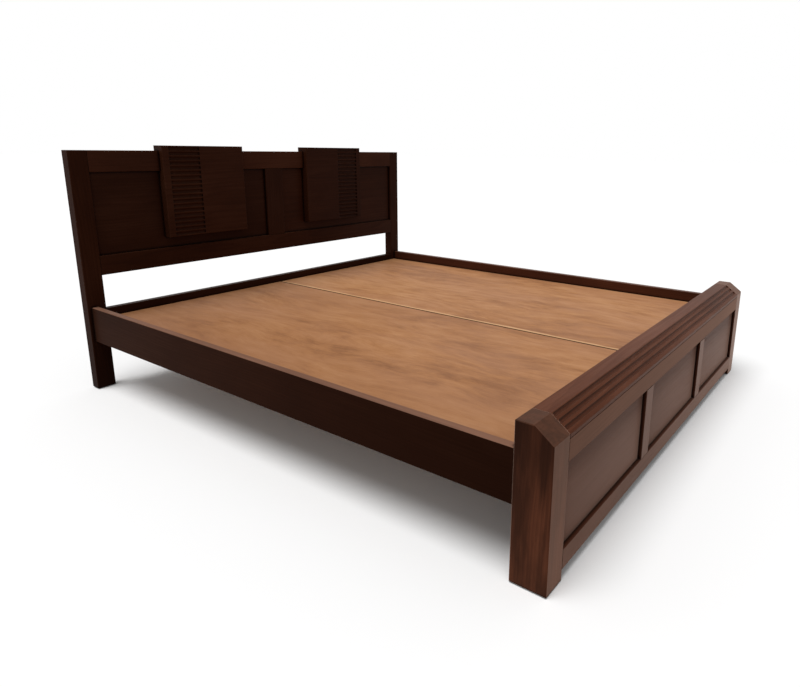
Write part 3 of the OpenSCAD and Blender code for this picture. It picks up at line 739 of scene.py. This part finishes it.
def moulded_plastic():
    """Matt black plastic with a fine moulded texture and grey scuffs."""
    look = bpy.context.scene.bed_fittings
    material, tree, shader, place = new_material("Moulded plastic")
    texture = noise(tree, place, MOULDED_CELLS, detail=1.0).outputs["Fac"]
    scuffs = remap(tree, noise(tree, place, SCUFF_CELLS, detail=3.0).outputs["Fac"], 0.55, 0.75)
    bump = add(
        tree, "ShaderNodeBump", {"Height": texture, "Strength": 0.25, "Distance": 0.1 * MM}
    )
    half, grey = times(tree, scuffs, 0.5), opaque(look.plastic, 5.0)
    feed(tree, shader, {
        "Base Color": mix(tree, half, opaque(look.plastic), grey),
        "Roughness": remap(tree, scuffs, 0.0, 1.0, 0.48, 0.66),
        "Normal": bump.outputs[0],
    })
    return material


def dress(node_name, material):
    """Gives a frame node its material."""
    slots = NODES[node_name].data.materials
    slots.clear()
    slots.append(material)


def dress_boards(boards, make):
    """Gives each board of a group a material of its own, seeded by its name."""
    seed = bpy.context.scene.bed_stain.seed
    for node_name, details in boards.items():
        dress(node_name, make(node_name, random.Random(f"{seed} {node_name}"), **details))


class BED_OT_headboard(bpy.types.Operator):
    """Finish the headboard's posts, rails, panels and blocks"""

    bl_idname = "bed.headboard"
    bl_label = "Headboard"

    def execute(self, context):
        dress_boards(HEADBOARD, stained_board)
        return {"FINISHED"}


class BED_OT_footboard(bpy.types.Operator):
    """Finish the footboard's posts, cap, rails and panels"""

    bl_idname = "bed.footboard"
    bl_label = "Footboard"

    def execute(self, context):
        dress_boards(FOOTBOARD, stained_board)
        return {"FINISHED"}


class BED_OT_side_rails(bpy.types.Operator):
    """Finish the two side rails"""

    bl_idname = "bed.side_rails"
    bl_label = "Side rails"

    def execute(self, context):
        dress_boards(SIDE_RAILS, stained_board)
        return {"FINISHED"}


class BED_OT_deck(bpy.types.Operator):
    """Finish the two plywood deck boards"""

    bl_idname = "bed.deck"
    bl_label = "Deck"

    def execute(self, context):
        for node_name, details in DECK_BOARDS.items():
            dress(node_name, plywood_board(node_name, random.Random(node_name), **details))
        return {"FINISHED"}


class BED_OT_underframe(bpy.types.Operator):
    """Finish the bearers, ledgers, beam, centre legs and dowels"""

    bl_idname = "bed.underframe"
    bl_label = "Underframe"

    def execute(self, context):
        dress_boards(UNDERFRAME, plain_board)
        return {"FINISHED"}


class BED_OT_fittings(bpy.types.Operator):
    """Finish the steel plates, bolts and glides"""

    bl_idname = "bed.fittings"
    bl_label = "Plates, bolts and glides"

    def execute(self, context):
        zinc = zinc_plating()
        for node_name in PLATES:
            dress(node_name, zinc)
        dress("leg_glides", moulded_plastic())
        return {"FINISHED"}


def solids_of(node_name):
    """The corners of each of a node's separate solids, in the order of its mesh."""
    mesh = bmesh.new()
    mesh.from_mesh(NODES[node_name].data)
    bmesh.ops.remove_doubles(mesh, verts=mesh.verts, dist=WELD)
    taken = set()
    solids = []
    for first in mesh.verts:
        if first in taken:
            continue
        taken.add(first)
        found = [first]
        for corner in found:
            for edge in corner.link_edges:
                other = edge.other_vert(corner)
                if other not in taken:
                    taken.add(other)
                    found.append(other)
        solids.append([corner.co.copy() for corner in found])
    mesh.free()
    return solids


def screw_place(corners):
    """A screw's head end, the way its head faces, its length and its greatest radius."""
    low = Vector(map(min, *corners))
    high = Vector(map(max, *corners))
    size = high - low
    along = max(range(3), key=lambda i: size[i])
    middle = (low + high) / 2
    way = Vector((0, 0, 0))
    way[along] = 1.0
    reach = {sign: 0.0 for sign in (-1, 1)}
    for corner in corners:
        offset = corner - middle
        sign = 1 if offset[along] > 0 else -1
        aside = (offset - way * offset[along]).length
        reach[sign] = max(reach[sign], aside)
    sign = max(reach, key=reach.get)
    head = middle + way * sign * size[along] / 2
    return head, way * sign, size[along], reach[sign]


def moved(tree, shape, height):
    """A shape moved along Z."""
    offset = add(tree, "ShaderNodeCombineXYZ", {2: height}).outputs[0]
    inputs = {"Geometry": shape, "Translation": offset}
    return add(tree, "GeometryNodeTransform", inputs).outputs[0]


def screw_head(tree, given):
    """A countersunk head under the origin, with a cross recess in its top."""
    radius, height = given["Head radius"], given["Head height"]
    cone = add(tree, "GeometryNodeMeshCone", {
        "Vertices": HEAD_SIDES, "Radius Top": radius, "Radius Bottom": given["Core radius"],
        "Depth": height,
    }).outputs["Mesh"]
    head = moved(tree, cone, times(tree, height, -1.0))
    cut = add(
        tree, "GeometryNodeMeshBoolean", {"Mesh 1": head}, operation="DIFFERENCE", solver="EXACT"
    )
    for turn in (0.0, math.pi / 2):
        size = add(tree, "ShaderNodeCombineXYZ", {
            0: times(tree, radius, BLADE_LENGTH),
            1: times(tree, radius, BLADE_WIDTH),
            2: times(tree, times(tree, height, given["Recess"]), 2.0),
        }).outputs[0]
        blade = add(tree, "GeometryNodeMeshCube", {"Size": size}).outputs["Mesh"]
        inputs = {"Geometry": blade, "Rotation": (0, 0, turn)}
        turned = add(tree, "GeometryNodeTransform", inputs).outputs[0]
        tree.links.new(turned, cut.inputs["Mesh 2"])
    return cut.outputs["Mesh"]


def screw_shank(tree, given):
    """The thread, the tip and the core below a screw's head."""
    head_h, core, long = given["Head height"], given["Core radius"], given["Length"]
    tip_h = times(tree, core, TIP_LENGTH)
    shank_h = maths(tree, "SUBTRACT", maths(tree, "SUBTRACT", long, head_h), tip_h)
    shank_low = times(tree, maths(tree, "ADD", head_h, shank_h), -1.0)
    shank = add(tree, "GeometryNodeMeshCone", {
        "Vertices": SHANK_SIDES, "Radius Top": core, "Radius Bottom": core,
        "Depth": shank_h, "Fill Segments": 1,
    }).outputs["Mesh"]
    tip = add(tree, "GeometryNodeMeshCone", {
        "Vertices": SHANK_SIDES, "Radius Top": core,
        "Radius Bottom": times(tree, core, TIP_END), "Depth": tip_h,
    }).outputs["Mesh"]
    thread_h = times(tree, shank_h, THREADED_SHARE)
    coil = add(tree, "GeometryNodeCurveSpiral", {
        "Resolution": TURN_STEPS, "Start Radius": core, "End Radius": core, "Height": thread_h,
        "Rotations": maths(tree, "DIVIDE", thread_h, given["Thread pitch"]),
    }).outputs[0]
    ridge = add(tree, "GeometryNodeCurvePrimitiveCircle", {
        "Resolution": RIDGE_SIDES, "Radius": given["Thread height"],
    }).outputs["Curve"]
    thread = add(tree, "GeometryNodeCurveToMesh", {
        "Curve": coil, "Profile Curve": ridge, "Fill Caps": True,
    }).outputs[0]
    return (
        moved(tree, thread, shank_low),
        moved(tree, tip, times(tree, long, -1.0)),
        moved(tree, shank, shank_low),
    )


def screw_tree():
    """Geometry Nodes that put a threaded countersunk screw at each point, turned its way."""
    name = "Countersunk screws"
    if name in bpy.data.node_groups:
        return bpy.data.node_groups[name]
    tree = bpy.data.node_groups.new(name, "GeometryNodeTree")
    socket = tree.interface.new_socket
    socket(name="Geometry", in_out="INPUT", socket_type="NodeSocketGeometry")
    for label in SCREW_SIZES:
        socket(name=label, in_out="INPUT", socket_type="NodeSocketFloat")
    socket(name="Material", in_out="INPUT", socket_type="NodeSocketMaterial")
    socket(name="Geometry", in_out="OUTPUT", socket_type="NodeSocketGeometry")
    given = tree.nodes.new("NodeGroupInput").outputs
    made = tree.nodes.new("NodeGroupOutput")
    joined = tree.nodes.new("GeometryNodeJoinGeometry")
    for shape in (*screw_shank(tree, given), screw_head(tree, given)):
        tree.links.new(shape, joined.inputs[0])
    way = add(tree, "GeometryNodeInputNamedAttribute", {"Name": "way"}, data_type="FLOAT_VECTOR")
    facing = add(tree, "FunctionNodeAlignRotationToVector", {"Vector": way.outputs[0]}, axis="Z")
    copies = add(tree, "GeometryNodeInstanceOnPoints", {
        "Points": given["Geometry"], "Instance": joined.outputs[0], "Rotation": facing.outputs[0],
    }).outputs[0]
    real = add(tree, "GeometryNodeRealizeInstances", {"Geometry": copies}).outputs[0]
    inputs = {"Geometry": real, "Material": given["Material"]}
    finished = add(tree, "GeometryNodeSetMaterial", inputs)
    tree.links.new(finished.outputs[0], made.inputs[0])
    return tree


def baked(points, name, tree, values):
    """Runs a node tree on a mesh of points and keeps its result as a plain mesh."""
    modifier = points.modifiers.new("Shape", "NODES")
    modifier.node_group = tree
    for item in tree.interface.items_tree:
        if item.in_out == "INPUT" and item.name in values:
            modifier[item.identifier] = values[item.name]
    context = bpy.context
    evaluated = points.evaluated_get(context.evaluated_depsgraph_get())
    mesh = bpy.data.meshes.new_from_object(evaluated)
    piece = bpy.data.objects.new(name, mesh)
    context.scene.collection.objects.link(piece)
    bpy.data.objects.remove(points)
    return piece


def screw_points(node_name, places):
    """Points at the screws' head ends that carry the way each head faces."""
    mesh = bpy.data.meshes.new(f"{node_name}_points")
    mesh.from_pydata([head for head, *_ in places], [], [])
    ways = mesh.attributes.new("way", "FLOAT_VECTOR", "POINT")
    for item, (_, way, *_) in zip(ways.data, places):
        item.vector = way
    points = bpy.data.objects.new(f"{node_name}_points", mesh)
    bpy.context.scene.collection.objects.link(points)
    return points


class BED_OT_screws(bpy.types.Operator):
    """Make the threaded countersunk screws that stand for each group of plain ones"""

    bl_idname = "bed.screws"
    bl_label = "Screws"

    def execute(self, context):
        look = context.scene.bed_fittings
        zinc = bpy.data.materials["Zinc plating"]
        for node_name in SCREWS:
            places = [screw_place(corners) for corners in solids_of(node_name)]
            _, _, long, head_radius = places[0]
            core = head_radius * CORE_SHARE
            points = screw_points(node_name, places)
            piece = baked(points, f"{node_name}_threaded", screw_tree(), {
                "Length": long,
                "Head radius": head_radius,
                "Head height": head_radius - core,
                "Core radius": core,
                "Thread pitch": look.pitch,
                "Thread height": look.thread,
                "Recess": look.recess,
                "Material": zinc,
            })
            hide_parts(node_name)
            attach(piece, "frame")
        return {"FINISHED"}


def floor_material():
    """White floor, clean white to the camera except in shadow and plain in the light it returns."""
    studio = bpy.context.scene.bed_studio
    material, tree, shader, _ = new_material("Studio floor")
    feed(tree, shader, {
        "Base Color": opaque(studio.floor), "Roughness": 0.9, "Specular IOR Level": 0.0,
    })
    glow = add(tree, "ShaderNodeEmission", {
        "Color": opaque(WHITE), "Strength": 1.0 - studio.open_floor,
    }).outputs[0]
    lit = add(tree, "ShaderNodeBsdfDiffuse", {"Color": opaque(WHITE, studio.open_floor)}).outputs[0]
    lifted = add(tree, "ShaderNodeAddShader", {0: glow, 1: lit}).outputs[0]
    both = add(tree, "ShaderNodeMixShader", {0: seen(tree), 1: shader.outputs[0], 2: lifted})
    output = next(n for n in tree.nodes if n.type == "OUTPUT_MATERIAL")
    tree.links.new(both.outputs[0], output.inputs["Surface"])
    return material


def floor_plane():
    """Lays the floor under the bed, wide enough to reach past every view."""
    half = FLOOR_REACH * LENGTH
    corners = [(x * half, y * half, FLOOR_Z) for x, y in ((-1, -1), (1, -1), (1, 1), (-1, 1))]
    mesh = bpy.data.meshes.new("studio_floor")
    mesh.from_pydata(corners, [], [(0, 1, 2, 3)])
    mesh.materials.append(floor_material())
    floor = bpy.data.objects.new("studio_floor", mesh)
    bpy.context.scene.collection.objects.link(floor)


def white_room(studio):
    """Makes the world, which lights the bed softly from all round and shows white behind it."""
    world = bpy.data.worlds.new("Studio")
    world.use_nodes = True
    tree = world.node_tree
    tree.nodes.clear()
    room, white = [
        add(tree, "ShaderNodeBackground", {"Color": opaque(WHITE), "Strength": level}).outputs[0]
        for level in (studio.sky, 1.0)
    ]
    both = add(tree, "ShaderNodeMixShader", {0: seen(tree), 1: room, 2: white})
    add(tree, "ShaderNodeOutputWorld", {"Surface": both.outputs[0]})
    bpy.context.scene.world = world


def overhead_light(studio):
    """A broad, even light above the bed, like a large diffuser."""
    data = bpy.data.lights.new("Overhead light", "SUN")
    data.energy = studio.key
    data.angle = studio.spread
    lamp = bpy.data.objects.new("Overhead light", data)
    lamp.rotation_euler = (-studio.lean_head, -studio.lean_side, 0)
    bpy.context.scene.collection.objects.link(lamp)


def photo_camera(studio):
    """The camera, from its heading, pitch and roll."""
    ahead = Vector((
        math.cos(studio.heading) * math.cos(studio.pitch),
        math.sin(studio.heading) * math.cos(studio.pitch),
        -math.sin(studio.pitch),
    ))
    right = ahead.cross(Vector((0, 0, 1))).normalized()
    up = right.cross(ahead)
    rolled_right = right * math.cos(studio.roll) + up * math.sin(studio.roll)
    rolled_up = up * math.cos(studio.roll) - right * math.sin(studio.roll)
    data = bpy.data.cameras.new("Camera")
    data.sensor_width = SENSOR_MM
    data.lens = studio.focal
    data.shift_x, data.shift_y = studio.shift
    camera = bpy.data.objects.new("Camera", data)
    turn = Matrix((rolled_right, rolled_up, -ahead)).transposed()
    camera.matrix_world = Matrix.Translation(studio.camera) @ turn.to_4x4()
    bpy.context.scene.collection.objects.link(camera)
    bpy.context.scene.camera = camera


class BED_OT_stage(bpy.types.Operator):
    """Lay the floor, hang the light overhead and set up the camera"""

    bl_idname = "bed.stage"
    bl_label = "Stage"

    def execute(self, context):
        studio = context.scene.bed_studio
        floor_plane()
        white_room(studio)
        overhead_light(studio)
        photo_camera(studio)
        context.scene.view_settings.view_transform = "Standard"
        return {"FINISHED"}


class BED_PT_panel(bpy.types.Panel):
    """Sizes, colours and steps of the bed frame"""

    bl_idname = "BED_PT_panel"
    bl_label = "Bed frame"
    bl_space_type = "VIEW_3D"
    bl_region_type = "UI"
    bl_category = "Bed frame"

    def draw(self, context):
        for name, group in GROUPS.items():
            box = self.layout.box()
            box.label(text=group.__doc__)
            for field in group.__annotations__:
                box.prop(getattr(context.scene, name), field)
        for operator in OPERATORS:
            self.layout.operator(operator.bl_idname)


OPERATORS = (
    BED_OT_headboard, BED_OT_footboard, BED_OT_side_rails, BED_OT_deck,
    BED_OT_underframe, BED_OT_fittings, BED_OT_screws, BED_OT_stage,
)


def register():
    for cls in (*GROUPS.values(), *OPERATORS, BED_PT_panel):
        bpy.utils.register_class(cls)
    for name, group in GROUPS.items():
        setattr(bpy.types.Scene, name, PointerProperty(type=group))


def unregister():
    for name in GROUPS:
        delattr(bpy.types.Scene, name)
    for cls in reversed((*GROUPS.values(), *OPERATORS, BED_PT_panel)):
        bpy.utils.unregister_class(cls)


def main():
    register()
    for operator in OPERATORS:
        group, action = operator.bl_idname.split(".")
        getattr(getattr(bpy.ops, group), action)()


if __name__ == "__main__":
    main()
